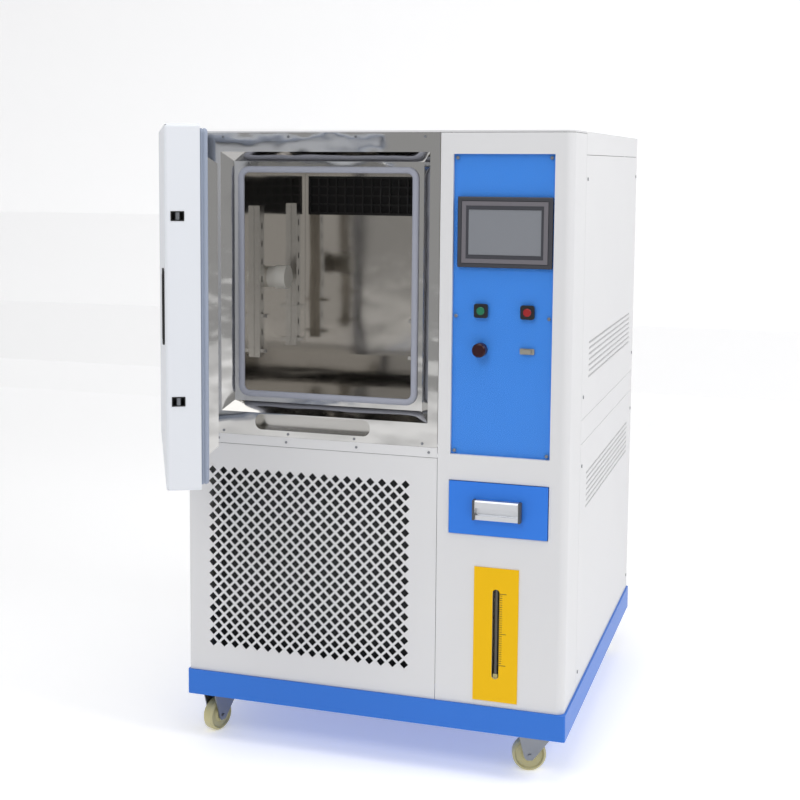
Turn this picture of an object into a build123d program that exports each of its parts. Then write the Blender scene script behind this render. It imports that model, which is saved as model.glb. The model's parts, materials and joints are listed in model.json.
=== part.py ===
from build123d import *
import math
import os

# Casing. X runs across the front from the left side, Y from the front plane to the rear, Z up from the floor.
body_w = 876.0
body_d = 1005.0
body_h = 1307.0
sheet = 1.5
seat = 0.3
seam = 1.0
base_h = 58.0
base_proud = 5.0
base_wall = 3.0
base_lip = 46.0
cover_skirt = 50.0
cover_lip = 4.0
edge_r = 18.0
chamber_front_w = 590.0
wrap_d = 154.0
return_w = 15.0
screw_r = 4.0
screw_h = 2.5

# Casters
wheel_d = 75.0
wheel_w = 28.0
caster_h = 105.0
caster_trail = 14.0
caster_plate_w = 84.0
caster_crown = 40.0
rear_inset = 60.0
caster_plate_t = 3.0
fork_t = 3.0
fork_gap = 2.5
axle_r = 4.0
running = 0.05
front_right = (801.0, 84.0, 197.0)
front_left = (46.0, 74.0, 250.0)
rear_turn = 75.0

# Test cavity and the steel front around it
cavity_w = 400.0
cavity_h = 500.0
cavity_d = 400.0
rim_w = 22.0
step_in = 21.0
step_depth = 29.0
frame_margin_right = 22.5
frame_margin_top = 42.0
liner_wall = 1.2
duct_d = 130.0
foam = 75.0
seal_w = 14.0
seal_t = 8.0
seal_lap = 3.0
duct_gap = 40.0
grille_h = 88.0
grille_side = 14.0
grille_top = 18.0

# Sill, lower front and its grille
strip_h = 22.0
strip_z = 600.0
tray_w = 272.0
tray_h = 36.0
tray_depth = 28.0
tray_left = 164.0
sill_flange = 14.0
diamond_pitch = 27.1
diamond_diag = 19.4
diamond_columns = 18
diamond_rows = 16
diamond_x = 58.5
diamond_z = 129.0

# Control column
plate_x = 28.7
plate_w = 217.2
plate_z = 611.0
plate_h = 646.0
plate_recess = 9.0
cover_t = 3.0
panel_screw_inset = 8.0
panel_screw_mid = 301.0
panel_w = 204.0
panel_h = 150.0
panel_x = 39.0
panel_z = 1017.0
panel_t = 7.0
panel_body_d = 34.0
screen_w = 156.0
screen_h = 96.0
switch_w = 30.0
switch_x = 92.0
switch_pitch = 100.3
switch_z = 924.5
button_d = 17.0
button_travel = 3.0
buzzer_z = 841.0
buzzer_d = 30.0
buzzer_h = 22.0
port_w = 31.0
port_h = 12.6

# Filling drawer
drawer_w = 219.0
drawer_h = 118.0
drawer_x = 27.0
drawer_z = 437.0
drawer_gap = 1.5
drawer_proud = 4.0
drawer_pan = 18.0
drawer_depth = 320.0
drawer_travel = 250.0
pull_w = 105.0
pull_h = 43.0
pull_proud = 16.0
pull_z = 496.0

# Water gauge
gauge_w = 98.4
gauge_h = 297.4
gauge_x = 86.3
gauge_z = 70.6
slot_w = 15.5
slot_h = 200.0
slot_z = 121.0
tube_r = 5.0
tank_d = 300.0

# Side vents
vent_y = 240.0
vent_l = 690.0
vent_h = 90.0
vent_upper_z = 753.5
vent_lower_z = 455.0
vent_rows = 7
vent_slot_h = 6.0
rail_z = 619.0
rail_h = 53.0

# Door, drawn closed and then swung open
door_w = 588.0
door_h = 678.0
door_t = 65.0
door_edge_r = 7.0
door_below_top = 0.5
gasket_t = 16.0
gasket_w = 12.0
gasket_inset = 8.0
gasket_clear = 1.3
plug_depth = 18.5
plug_clear = 15.0
plug_taper = 12.0
hinge_x = -12.0
hinge_y = -49.0
door_open = 63.0
hinge_inset = 110.0
hinge_len = 90.0
knuckle_r = 8.0
pin_r = 4.0
leaf_t = 3.0
latch_inset = 168.0
latch_w = 25.0
latch_h = 18.0
latch_depth = 30.0
latch_offset = 11.0
latch_throw = 6.5
handle_h = 142.0
handle_w = 46.0
handle_edge = 42.0
handle_proud = 4.0
handle_recess = 16.0

# Machinery
impeller_d = 180.0
impeller_w = 46.0
shaft_r = 6.0
blade_count = 8
fan_d = 300.0
fan_blades = 4
condenser_w = 360.0
condenser_h = 330.0
condenser_t = 66.0
compressor_r = 92.0
compressor_h = 250.0

z_base = caster_h
z_body = z_base + base_h
z_top = z_base + body_h
column_w = body_w - chamber_front_w


def block(x0, x1, y0, y1, z0, z1):
    """A box between two corners."""
    return Pos((x0 + x1) / 2, (y0 + y1) / 2, (z0 + z1) / 2) * Box(x1 - x0, y1 - y0, z1 - z0)


def rod(start, end, radius):
    """A round bar between two points on one axis."""
    a, b = Vector(*start), Vector(*end)
    plane = Plane(origin=a, z_dir=(b - a).normalized())
    return extrude(plane * Circle(radius), (b - a).length)


def facing(x, y, z, sketch, depth):
    """A front-facing sketch centred at x, z and carried back from y by depth."""
    plane = Plane(origin=(x, y + depth, z), x_dir=(1, 0, 0), z_dir=(0, -1, 0))
    return extrude(plane * sketch, depth)


def ring(x, y, z, outer, inner, depth):
    """A rectangular ring with square or rounded corners, seen from the front."""
    return facing(x, y, z, outer, depth) - facing(x, y - 1, z, inner, depth + 2)


def frustum(x, z, y0, y1, w0, h0, w1, h1):
    """A four-sided block that tapers from y0 to y1."""
    near = Plane(origin=(x, y0, z), x_dir=(1, 0, 0), z_dir=(0, 1, 0))
    far = Plane(origin=(x, y1, z), x_dir=(1, 0, 0), z_dir=(0, 1, 0))
    return loft([near * Rectangle(w0, h0), far * Rectangle(w1, h1)])


def group(shapes):
    """Separate solids that make one node."""
    return Compound([solid for shape in shapes for solid in shape.solids()])


nodes = {}

# Blue base: a folded tray whose top lip carries the casing
base_out = (-base_proud, body_w + base_proud, -base_proud, body_d + base_proud)
base = block(*base_out, z_base, z_body)
base = fillet(base.edges().filter_by(Axis.Z), base_proud)
base -= block(
    base_out[0] + base_wall, base_out[1] - base_wall, base_out[2] + base_wall, base_out[3] - base_wall,
    z_base + base_wall, z_body - base_wall,
)
base -= block(
    base_out[0] + base_lip, base_out[1] - base_lip, base_out[2] + base_lip, base_out[3] - base_lip,
    z_body - base_wall - 1, z_body + 1,
)
nodes["base_frame"] = base

# Corner posts: square tube standing on the base lip, under the top cover, and a flat one beside the chamber
post_w = 26.0
post_wall = 2.0
post_low = z_body + seat
post_high = z_top - sheet - seat
post_x = (sheet + seat, body_w - sheet - seat - post_w)
post_y = (edge_r + seat, body_d - sheet - seat - post_w)
mullion_w = 16.0


def post(x, y):
    tube = block(x, x + post_w, y, y + post_w, post_low, post_high)
    return tube - block(
        x + post_wall, x + post_w - post_wall, y + post_wall, y + post_w - post_wall, post_low - 1, post_high + 1
    )


mullion_x = chamber_front_w + seam + sheet + seat
mullion = block(mullion_x, mullion_x + mullion_w, sheet + seat, 28, post_low, post_high)
nodes["corner_posts"] = group([*(post(x, y) for x in post_x for y in post_y), mullion])

# Places of the opening, worked out from the steel front
z_frame = z_base + strip_z + strip_h + seat
frame_top = z_top - cover_lip - seat
step_w = cavity_w + 2 * (rim_w + step_in)
step_h = cavity_h + 2 * (rim_w + step_in)
cav_x = chamber_front_w - frame_margin_right - step_w / 2
cav_z = frame_top - frame_margin_top - step_h / 2
cav_x0, cav_x1 = cav_x - cavity_w / 2, cav_x + cavity_w / 2
cav_z0, cav_z1 = cav_z - cavity_h / 2, cav_z + cavity_h / 2
liner_y0 = step_depth + sheet + seat
liner_y1 = liner_y0 + cavity_d + duct_d

# Side rails, and the two beams that carry the insulated box between them
rail_z0 = z_base + rail_z
rail_z1 = rail_z0 + rail_h
beam_w = 40.0
beam_top = cav_z0 - liner_wall - foam - seat
beam_y = (140.0, liner_y1 - 60.0)
rails = [block(body_w - sheet, body_w, wrap_d + seam, body_d, rail_z0, rail_z1)]
for y in beam_y:
    rails.append(
        block(sheet + seat, body_w - sheet - seat, y, y + beam_w, beam_top - beam_w, beam_top)
        - block(0, body_w, y + post_wall, y + beam_w - post_wall, beam_top - beam_w + post_wall, beam_top - post_wall)
    )
nodes["frame_rails"] = group(rails)

# Casing sheets
skirt_z = z_top - cover_skirt
nodes["left_side_panel"] = (
    block(0, sheet, sheet + seat, body_d, z_body + seat, skirt_z - seam)
    + block(0, return_w, sheet + seat, 2 * sheet + seat, z_body + seat, skirt_z - seam)
)


def side_sheet(z0, z1, vent_z0):
    """One removable right side sheet with its band of vent slots."""
    plate = block(body_w - sheet, body_w, wrap_d + seam, body_d, z0, z1)
    pitch = vent_h / vent_rows
    cuts = [
        block(body_w - sheet - 1, body_w + 1, vent_y, vent_y + vent_l, z, z + vent_slot_h)
        for z in (z_base + vent_z0 + (pitch - vent_slot_h) / 2 + pitch * k for k in range(vent_rows))
    ]
    return plate - cuts


nodes["right_side_panels"] = group([
    side_sheet(rail_z1 + seam, skirt_z - seam, vent_upper_z),
    side_sheet(z_body + seat, rail_z0 - seam, vent_lower_z),
])

rear_slot_l = 300.0
rear_slots = 8
gland_r = 12.0
drain_r = 11.0
motor_r = 62.0
fitting_z = z_body + 60
rear = block(sheet + seat, body_w - sheet - seat, body_d - sheet, body_d, z_body + seat, skirt_z - seam)
rear -= [
    block(x, x + rear_slot_l, body_d - sheet - 1, body_d + 1, z, z + 2 * vent_slot_h)
    for x in (100.0, body_w - 100.0 - rear_slot_l)
    for z in (z_body + 160 + 28 * k for k in range(rear_slots))
]
rear -= rod((body_w - 90, body_d - sheet - 1, fitting_z), (body_w - 90, body_d + 1, fitting_z), gland_r)
rear -= rod((90, body_d - sheet - 1, fitting_z), (90, body_d + 1, fitting_z), drain_r)
gland = rod((body_w - 90, body_d + seat, fitting_z), (body_w - 90, body_d + base_proud - seat, fitting_z), gland_r + 5)
gland += rod((body_w - 90, body_d - 24, fitting_z), (body_w - 90, body_d + seat, fitting_z), gland_r - seat)
gland -= rod((body_w - 90, body_d - 25, fitting_z), (body_w - 90, body_d + base_proud, fitting_z), gland_r - 5)
drain = rod((90, body_d + seat, fitting_z), (90, body_d + base_proud - seat, fitting_z), drain_r + 4)
drain += rod((90, body_d - 24, fitting_z), (90, body_d + seat, fitting_z), drain_r - seat)
drain -= rod((90, body_d - 25, fitting_z), (90, body_d + base_proud, fitting_z), drain_r - 4)
nodes["rear_panel"] = group([rear, gland, drain])


def top_outline(inset):
    """The cover's outline: square but for the rounded front right corner."""
    x0, x1, y0, y1 = inset, body_w - inset, inset, body_d - inset
    r = edge_r - inset
    return make_face(Polyline((x0, y0), (x0, y1), (x1, y1), (x1, y0 + r)) + RadiusArc((x1, y0 + r), (x1 - r, y0), r)
                     + Line((x1 - r, y0), (x0, y0)))


cover = Pos(0, 0, z_top - cover_skirt) * extrude(top_outline(0), cover_skirt)
cover -= Pos(0, 0, z_top - cover_skirt - 1) * extrude(top_outline(sheet), cover_skirt + 1 - sheet)
cover -= block(-1, body_w + 1, -1, sheet + seat, skirt_z - 1, z_top - cover_lip)
cover -= block(body_w - 2 * edge_r, body_w + 1, -1, wrap_d + seam, skirt_z - 1, z_top - cover_lip)
nodes["top_cover"] = cover

# Control column: front sheet wrapped round the right edge, with its cut-outs
col_x0 = chamber_front_w + seam
col_z0, col_z1 = z_body + seat, z_top - cover_lip - seam


def wrap_outline(inset):
    x1, y0 = body_w - inset, inset
    r = edge_r - inset
    return (Line((col_x0, y0), (x1 - r, y0)) + RadiusArc((x1 - r, y0), (x1, y0 + r), -r)
            + Line((x1, y0 + r), (x1, wrap_d)))


outer_wrap, inner_wrap = wrap_outline(0), wrap_outline(sheet)
wrap_face = make_face(
    outer_wrap + Line((body_w, wrap_d), (body_w - sheet, wrap_d)) + inner_wrap + Line((col_x0, sheet), (col_x0, 0))
)
column = Pos(0, 0, col_z0) * extrude(wrap_face, col_z1 - col_z0)
column += block(col_x0, col_x0 + sheet, 0, return_w, col_z0, col_z1)
rec_x, rec_z = chamber_front_w + plate_x + plate_w / 2, z_base + plate_z + plate_h / 2
drw_x, drw_z = chamber_front_w + drawer_x + drawer_w / 2, z_base + drawer_z + drawer_h / 2
slot_x = chamber_front_w + gauge_x + gauge_w / 2
slot_mid = z_base + slot_z + slot_h / 2
for x, z, w, h, lip in ((rec_x, rec_z, plate_w, plate_h, plate_recess), (drw_x, drw_z, drawer_w, drawer_h, drawer_pan)):
    column += ring(x, 0, z, Rectangle(w + 2 * sheet, h + 2 * sheet), Rectangle(w, h), lip)
    column -= facing(x, -1, z, Rectangle(w, h), lip + 2)
column -= facing(slot_x, -1, slot_mid, SlotOverall(slot_h, slot_w, rotation=90), sheet + 2)
nodes["column_panel"] = column

# Lower front sheet with the diamond grille
low_z0, low_z1 = z_body + seat, z_base + strip_z - seam
low_x0, low_x1 = 0.0, chamber_front_w
grid_w, grid_h = diamond_pitch * (diamond_columns - 1), diamond_pitch * (diamond_rows - 1)
grid_x, grid_z = diamond_x + grid_w / 2, z_base + diamond_z + grid_h / 2
diamond = Rectangle(diamond_diag / math.sqrt(2), diamond_diag / math.sqrt(2), rotation=45)
holes = GridLocations(diamond_pitch, diamond_pitch, diamond_columns, diamond_rows).locations
holes += GridLocations(diamond_pitch, diamond_pitch, diamond_columns - 1, diamond_rows - 1).locations
low_sheet = Rectangle(low_x1 - low_x0, low_z1 - low_z0)
shift = (grid_x - (low_x0 + low_x1) / 2, grid_z - (low_z0 + low_z1) / 2)
low_sheet -= [Pos(*shift) * spot * diamond for spot in holes]
nodes["lower_front_panel"] = facing((low_x0 + low_x1) / 2, 0, (low_z0 + low_z1) / 2, low_sheet, sheet)

nodes["sill_strip"] = (
    block(low_x0, low_x1, 0, sheet, low_z1 + seam, z_frame - seat)
    + block(low_x0 + return_w + seam, low_x1, sheet, return_w, z_frame - seat - sheet, z_frame - seat)
)

# Steel front: flange, 45 degree style step and rim, with the sill opening
frame_z = (z_frame + frame_top) / 2
frame_sketch = Rectangle(chamber_front_w, frame_top - z_frame)
front = facing(chamber_front_w / 2, 0, frame_z, frame_sketch, sheet) - facing(
    cav_x, -1, cav_z, Rectangle(step_w, step_h), sheet + 2
)
inner_w, inner_h = step_w - 2 * step_in, step_h - 2 * step_in
funnel = frustum(
    cav_x, cav_z, 0, step_depth + sheet, step_w + 2 * sheet, step_h + 2 * sheet, inner_w + 2 * sheet, inner_h + 2 * sheet
) - frustum(cav_x, cav_z, 0, step_depth, step_w, step_h, inner_w, inner_h)
rim = ring(
    cav_x, step_depth, cav_z, Rectangle(inner_w + 2 * sheet, inner_h + 2 * sheet), Rectangle(cavity_w, cavity_h), sheet
)
front = front + funnel + rim
front -= facing(cav_x, -1, cav_z, Rectangle(cavity_w, cavity_h), step_depth + sheet + 2)
tray_z0 = z_frame + sill_flange
tray_x1 = tray_left + tray_w
front -= facing(
    (tray_left + tray_x1) / 2, -1, tray_z0 + tray_h / 2, RectangleRounded(tray_w, tray_h, tray_h / 2.2), sheet + 2
)
nodes["front_frame"] = front

nodes["cavity_seal"] = ring(
    cav_x, step_depth - seal_t - seat, cav_z,
    RectangleRounded(cavity_w - 2 * seal_lap + 2 * seal_w, cavity_h - 2 * seal_lap + 2 * seal_w, 26),
    RectangleRounded(cavity_w - 2 * seal_lap, cavity_h - 2 * seal_lap, 14), seal_t,
)

# Drip tray behind the sill opening
tray_y0 = sheet + seat
tray = block(tray_left - 2, tray_x1 + 2, tray_y0, tray_y0 + tray_depth, tray_z0 - sheet, tray_z0 + tray_h)
tray -= block(tray_left, tray_x1, tray_y0 - 1, tray_y0 + tray_depth - sheet, tray_z0, tray_z0 + tray_h - sheet)
nodes["sill_tray"] = tray

# Cavity liner with its port sleeve, and the foam round it
port_y = liner_y0 + 160.0
port_z = cav_z
port_r = 25.0
shaft_z = cav_z1 - grille_top - 110.0
liner_out = (
    cav_x0 - liner_wall, cav_x1 + liner_wall, liner_y0, liner_y1 + liner_wall, cav_z0 - liner_wall, cav_z1 + liner_wall
)
sleeve = rod((sheet + seat, port_y, port_z), (cav_x0, port_y, port_z), port_r + liner_wall)
liner = block(*liner_out) + sleeve
liner -= block(cav_x0, cav_x1, liner_y0 - 1, liner_y1, cav_z0, cav_z1)
liner -= rod((0, port_y, port_z), (cav_x0 + 1, port_y, port_z), port_r)
liner -= rod((cav_x, liner_y1 - 1, shaft_z), (cav_x, liner_y1 + 2, shaft_z), shaft_r + 4)
nodes["chamber_liner"] = liner

foam_x0 = liner_out[0] - foam
foam_block = block(
    foam_x0, liner_out[1] + foam, liner_y0, liner_out[3] + foam, liner_out[4] - foam, liner_out[5] + foam
)
foam_block -= block(
    liner_out[0] - seat, liner_out[1] + seat, liner_y0 - 1, liner_out[3] + seat, liner_out[4] - seat, liner_out[5] + seat
)
foam_block -= rod((foam_x0 - 1, port_y, port_z), (cav_x0, port_y, port_z), port_r + liner_wall + seat)
foam_block -= rod((cav_x, liner_y1, shaft_z), (cav_x, liner_out[3] + foam + 1, shaft_z), shaft_r + 4)
nodes["insulation"] = foam_block

plug_head_r = 28.0
plug_len = 46.0
plug_neck = 18.0
stopper = rod((cav_x0 + plug_neck, port_y, port_z), (cav_x0 + plug_len, port_y, port_z), plug_head_r)
stopper += rod((cav_x0 - 40, port_y, port_z), (cav_x0 + plug_neck, port_y, port_z), port_r - seat)
nodes["port_plug"] = stopper

# Duct panel with its return gap below and the air grille above
duct_y = liner_y0 + cavity_d
grille_z1 = cav_z1 - grille_top
grille_z0 = grille_z1 - grille_h
duct = block(cav_x0 + seat, cav_x1 - seat, duct_y, duct_y + liner_wall, cav_z0 + duct_gap, cav_z1 - seat)
duct += block(cav_x0 + seat, cav_x1 - seat, duct_y, duct_y + 20, cav_z0 + duct_gap, cav_z0 + duct_gap + liner_wall)
duct -= block(
    cav_x0 + grille_side, cav_x1 - grille_side, duct_y - 1, duct_y + liner_wall + 1, grille_z0, grille_z1
)
nodes["back_duct"] = duct

grille_columns = 16
grille_rows = 4
grille_bar = 4.0
cell_w = (cavity_w - 2 * grille_side) / grille_columns
cell_h = grille_h / grille_rows
grille_sketch = Rectangle(cavity_w - 2 * grille_side + 8, grille_h + 8)
grille_sketch -= [
    spot * Rectangle(cell_w - grille_bar, cell_h - grille_bar)
    for spot in GridLocations(cell_w, cell_h, grille_columns, grille_rows).locations
]
nodes["air_grille"] = facing(cav_x, duct_y - seat - 4, (grille_z0 + grille_z1) / 2, grille_sketch, 4)

# Blower: motor outside the foam, impeller in the duct
motor_y = liner_out[3] + foam + seat
motor_len = 130.0
motor = rod((cav_x, motor_y, shaft_z), (cav_x, motor_y + motor_len, shaft_z), motor_r)
motor -= rod((cav_x, motor_y - 1, shaft_z), (cav_x, motor_y + motor_len - 10, shaft_z), shaft_r + running)
nodes["blower_motor"] = motor

imp_y = duct_y + 40.0
wheel = rod((cav_x, imp_y, shaft_z), (cav_x, imp_y + 3, shaft_z), impeller_d / 2)
wheel += rod((cav_x, imp_y, shaft_z), (cav_x, imp_y + impeller_w, shaft_z), 22)
wheel += rod((cav_x, imp_y, shaft_z), (cav_x, motor_y + motor_len - 11, shaft_z), shaft_r)
for k in range(blade_count):
    blade = block(34, impeller_d / 2 - 4, imp_y, imp_y + impeller_w, -1, 1)
    wheel += Pos(cav_x, 0, shaft_z) * Rot(0, 360 / blade_count * k, 0) * Pos(0, 0, 8) * blade
nodes["blower_wheel"] = wheel

evap_y = duct_y + liner_wall + 12
coil = block(cav_x0 + 30, cav_x1 - 30, evap_y, evap_y + 60, cav_z0 + duct_gap + 12, shaft_z - impeller_d / 2 - 20)
tube_pitch = 60.0
for z in (cav_z0 + duct_gap + 40 + tube_pitch * k for k in range(4)):
    for x0, x1 in ((cav_x0 + seat, cav_x0 + 30), (cav_x1 - 30, cav_x1 - seat)):
        coil += block(x0, x1, evap_y + 20, evap_y + 40, z, z + 20)
nodes["evaporator"] = coil

# Slotted shelf uprights on both side walls, each with a shelf clip
upright_w = 28.0
upright_d = 14.0
upright_t = 1.2
upright_z0 = cav_z0 + 69.5
upright_h = 351.0
slot_pitch = 41.0
upright_y = (liner_y0 + 60.0, liner_y0 + 300.0)
clip_slots = (0, 2)
clip_reach = 16.0


def upright(y, side):
    """A U channel against the left (+1) or right (-1) wall, slotted up its face."""
    wall = cav_x0 if side > 0 else cav_x1
    near, far = wall + side * seat, wall + side * upright_d
    x0, x1 = min(near, far), max(near, far)
    channel = block(x0, x1, y, y + upright_w, upright_z0, upright_z0 + upright_h)
    channel -= block(
        min(near, far - side * upright_t) - (side > 0), max(near, far - side * upright_t) + (side < 0),
        y + upright_t, y + upright_w - upright_t, upright_z0 - 1, upright_z0 + upright_h + 1,
    )
    first = upright_z0 + 10
    channel -= [
        block(x0 - 1, x1 + 1, y + upright_w / 2 - 3, y + upright_w / 2 + 3, z, z + 14)
        for z in (first + slot_pitch * k for k in range(int((upright_h - 24) // slot_pitch) + 1))
    ]
    reach = (min(far, far + side * clip_reach), max(far, far + side * clip_reach))
    for k in clip_slots:
        clip_z = first + slot_pitch * k + 7
        channel += block(*reach, y + 4, y + upright_w - 4, clip_z, clip_z + 2)
        channel += block(*reach, y + 4, y + 6, clip_z - 6, clip_z)
    return channel


nodes["shelf_uprights"] = group(upright(y, side) for y in upright_y for side in (1, -1))

# Control plate, its clear cover and what is set in them
plate_back = plate_recess + seat
col_left = chamber_front_w
hmi_x, hmi_z = col_left + panel_x + panel_w / 2, z_base + panel_z + panel_h / 2
cut_w, cut_h = panel_w - 14, panel_h - 14
switch_at = [(col_left + switch_x, z_base + switch_z), (col_left + switch_x + switch_pitch, z_base + switch_z)]
buzzer_at = (col_left + switch_x, z_base + buzzer_z)
port_at = (col_left + switch_x + switch_pitch, z_base + buzzer_z)
barrel_r = 11.0


def plate_cuts(y, depth):
    cuts = [facing(hmi_x, y, hmi_z, Rectangle(cut_w, cut_h), depth)]
    cuts += [facing(x, y, z, Circle(barrel_r), depth) for x, z in (*switch_at, buzzer_at)]
    cuts.append(facing(port_at[0], y, port_at[1], Rectangle(port_w - 11, port_h - 3), depth))
    return cuts


nodes["control_plate"] = block(
    rec_x - plate_w / 2 - 8, rec_x + plate_w / 2 + 8, plate_back, plate_back + sheet,
    rec_z - plate_h / 2 - 8, rec_z + plate_h / 2 + 8,
) - plate_cuts(plate_back - 1, sheet + 2)
face_y = plate_back - seat - cover_t
cover_clear = 1.0
nodes["control_cover"] = block(
    rec_x - plate_w / 2 + cover_clear, rec_x + plate_w / 2 - cover_clear, face_y, plate_back - seat,
    rec_z - plate_h / 2 + cover_clear, rec_z + plate_h / 2 - cover_clear,
) - plate_cuts(face_y - 1, cover_t + 2)

hmi_y = face_y - seat - panel_t
body = facing(hmi_x, hmi_y, hmi_z, RectangleRounded(panel_w, panel_h, 5), panel_t)
body = chamfer(body.faces().sort_by(Axis.Y)[0].edges(), 2)
body += facing(hmi_x, hmi_y + panel_t, hmi_z, Rectangle(cut_w - 1, cut_h - 1), panel_body_d)
body -= facing(hmi_x, hmi_y - 1, hmi_z, Rectangle(screen_w + 1, screen_h + 1), 3.5)
nodes["touch_panel"] = body
nodes["touch_screen"] = facing(hmi_x, hmi_y + 1.2, hmi_z, Rectangle(screen_w, screen_h), 1)

bezel_t = 6.0
bezel_y = face_y - seat - bezel_t
barrel_l = 30.0
bezels = []
for x, z in switch_at:
    bezel = facing(x, bezel_y, z, RectangleRounded(switch_w, switch_w, 5), bezel_t)
    bezel += facing(x, bezel_y + bezel_t, z, Circle(barrel_r - seat), barrel_l)
    bezels.append(bezel - facing(x, bezel_y - 1, z, Circle(button_d / 2 + running), bezel_t + 12))
nodes["switch_bezels"] = group(bezels)
for name, (x, z) in zip(("light_button", "power_button"), switch_at):
    key = facing(x, bezel_y - button_travel - 0.5, z, Circle(button_d / 2), bezel_t + 8)
    nodes[name] = chamfer(key.faces().sort_by(Axis.Y)[0].edges(), 1)

horn = facing(buzzer_at[0], face_y - seat - buzzer_h, buzzer_at[1], Circle(buzzer_d / 2), buzzer_h)
horn = chamfer(horn.faces().sort_by(Axis.Y)[0].edges(), 3)
horn += facing(buzzer_at[0], face_y - seat, buzzer_at[1], Circle(barrel_r - seat), barrel_l)
nodes["buzzer"] = horn
jack = facing(port_at[0], face_y - seat - 1.2, port_at[1], RectangleRounded(port_w, port_h, 2), 1.2)
jack += facing(port_at[0], face_y - seat - 6, port_at[1], Rectangle(port_w - 13, port_h - 5), 20)
nodes["serial_port"] = jack

# Yellow gauge plate, sight tube and the tank it reads
gauge_mid = z_base + gauge_z + gauge_h / 2
nodes["gauge_plate"] = facing(slot_x, -seat - sheet, gauge_mid, Rectangle(gauge_w, gauge_h), sheet) - facing(
    slot_x, -sheet - 2, slot_mid, SlotOverall(slot_h, slot_w, rotation=90), sheet + 3
)
tube_y = sheet + seat + tube_r
tank_y = 40.0
tank_x0, tank_x1 = col_left + 24, body_w - 60
tank_z0, tank_z1 = z_body + seat, slot_mid + slot_h / 2 + 30
elbow = 20.0
tube_z0, tube_z1 = slot_mid - slot_h / 2 - 8, slot_mid + slot_h / 2 + 8
nodes["level_tube"] = rod((slot_x, tube_y, tube_z0), (slot_x, tube_y, tube_z1), tube_r)
tank = block(tank_x0, tank_x1, tank_y, tank_y + tank_d, tank_z0, tank_z1)
tank -= block(tank_x0 + 3, tank_x1 - 3, tank_y + 3, tank_y + tank_d - 3, tank_z0 + 3, tank_z1 - 3)
for low, high in ((tube_z0 - elbow, tube_z0), (tube_z1, tube_z1 + elbow)):
    tank += block(slot_x - 8, slot_x + 8, tube_y - tube_r, tank_y + 1, low + seat, high - seat)
nodes["water_tank"] = tank

# Filling drawer, its pull and its runners
front_w, front_h = drawer_w - 2 * drawer_gap, drawer_h - 2 * drawer_gap
pan = facing(drw_x, -drawer_proud, drw_z, RectangleRounded(front_w, front_h, 2), drawer_pan)
pan -= facing(drw_x, -drawer_proud + sheet, drw_z, Rectangle(front_w - 2 * sheet, front_h - 2 * sheet), drawer_pan)
nodes["drawer_front"] = pan
box_y0 = sheet + seat - drawer_proud
runner_t = 5.0
runner_z = drw_z - 6
box_w = drawer_w - 2 * (runner_t + 5)
box_z0, box_z1 = drw_z - drawer_h / 2 + 8, drw_z + drawer_h / 2 - 22
bin_box = block(drw_x - box_w / 2, drw_x + box_w / 2, box_y0, box_y0 + drawer_depth, box_z0, box_z1)
bin_box -= block(
    drw_x - box_w / 2 + sheet, drw_x + box_w / 2 - sheet, box_y0 + sheet, box_y0 + drawer_depth - sheet,
    box_z0 + sheet, box_z1 + 1,
)
nodes["drawer_box"] = bin_box
runner_y0 = drawer_pan + seat
runners = []
for side in (-1, 1):
    inner = drw_x + side * (box_w / 2 + seat)
    outer = drw_x + side * (drawer_w / 2 + 6)
    x0, x1 = min(inner, outer), max(inner, outer)
    runners.append(block(x0, x1, runner_y0, runner_y0 + drawer_depth, runner_z, runner_z + 20))
nodes["drawer_runners"] = group(runners)

pull_mid = z_base + pull_z
pull_back = -drawer_proud - seat
lip_h = 16.0
lip_t = 3.0
pull_plane = Plane(origin=(drw_x - pull_w / 2 + 6, 0, 0), x_dir=(0, 1, 0), z_dir=(1, 0, 0))
half = pull_h / 2
tip = pull_back - pull_proud
profile = Polyline(
    (pull_back, pull_mid - half), (pull_back, pull_mid + half), (tip + 3, pull_mid + half), (tip, pull_mid + half - 3),
    (tip, pull_mid + half - lip_h), (tip + lip_t, pull_mid + half - lip_h), (tip + lip_t, pull_mid + half - lip_t),
    (pull_back - lip_t, pull_mid + half - lip_t), (pull_back - lip_t, pull_mid - half + 8),
    (pull_back - 9, pull_mid - half + 10), (pull_back - 11, pull_mid - half + 10), (pull_back - 11, pull_mid - half),
    close=True,
)
pull = extrude(pull_plane * make_face(profile), pull_w - 12)
cap_plane = Polyline(
    (pull_back, pull_mid - half), (pull_back, pull_mid + half), (tip + 3, pull_mid + half), (tip, pull_mid + half - 3),
    (tip, pull_mid + half - lip_h), (pull_back - 11, pull_mid - half), close=True,
)
caps = [
    extrude(Plane(origin=(x, 0, 0), x_dir=(0, 1, 0), z_dir=(1, 0, 0)) * make_face(cap_plane), 6 - seat)
    for x in (drw_x - pull_w / 2, drw_x + pull_w / 2 - 6 + seat)
]
nodes["drawer_pull"] = group([pull, *caps])

# Compressor, condenser and fan on the base, behind the lower grille
deck_z = z_base + base_wall + seat
cond_x, cond_y = 300.0, 250.0
cond_z = deck_z + 20
fin_block = block(cond_x - condenser_w / 2, cond_x + condenser_w / 2, cond_y, cond_y + condenser_t, cond_z, cond_z + condenser_h)
for x in (cond_x - condenser_w / 2, cond_x + condenser_w / 2 - 3):
    fin_block += block(x, x + 3, cond_y - 8, cond_y + condenser_t + 60, deck_z, cond_z + condenser_h + 10)
fan_y = cond_y + condenser_t + 14
fan_z = cond_z + condenser_h / 2
shroud = ring(
    cond_x, fan_y - 6, fan_z, Rectangle(condenser_w - 6, condenser_h + 16), Circle(fan_d / 2 + 8), 3
)
strut_y = fan_y + 34
strut = block(cond_x - condenser_w / 2, cond_x + condenser_w / 2, strut_y, strut_y + 4, fan_z - 20, fan_z + 20)
strut -= rod((cond_x, strut_y - 1, fan_z), (cond_x, strut_y + 5, fan_z), shaft_r + running)
nodes["condenser"] = fin_block + shroud + strut
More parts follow.
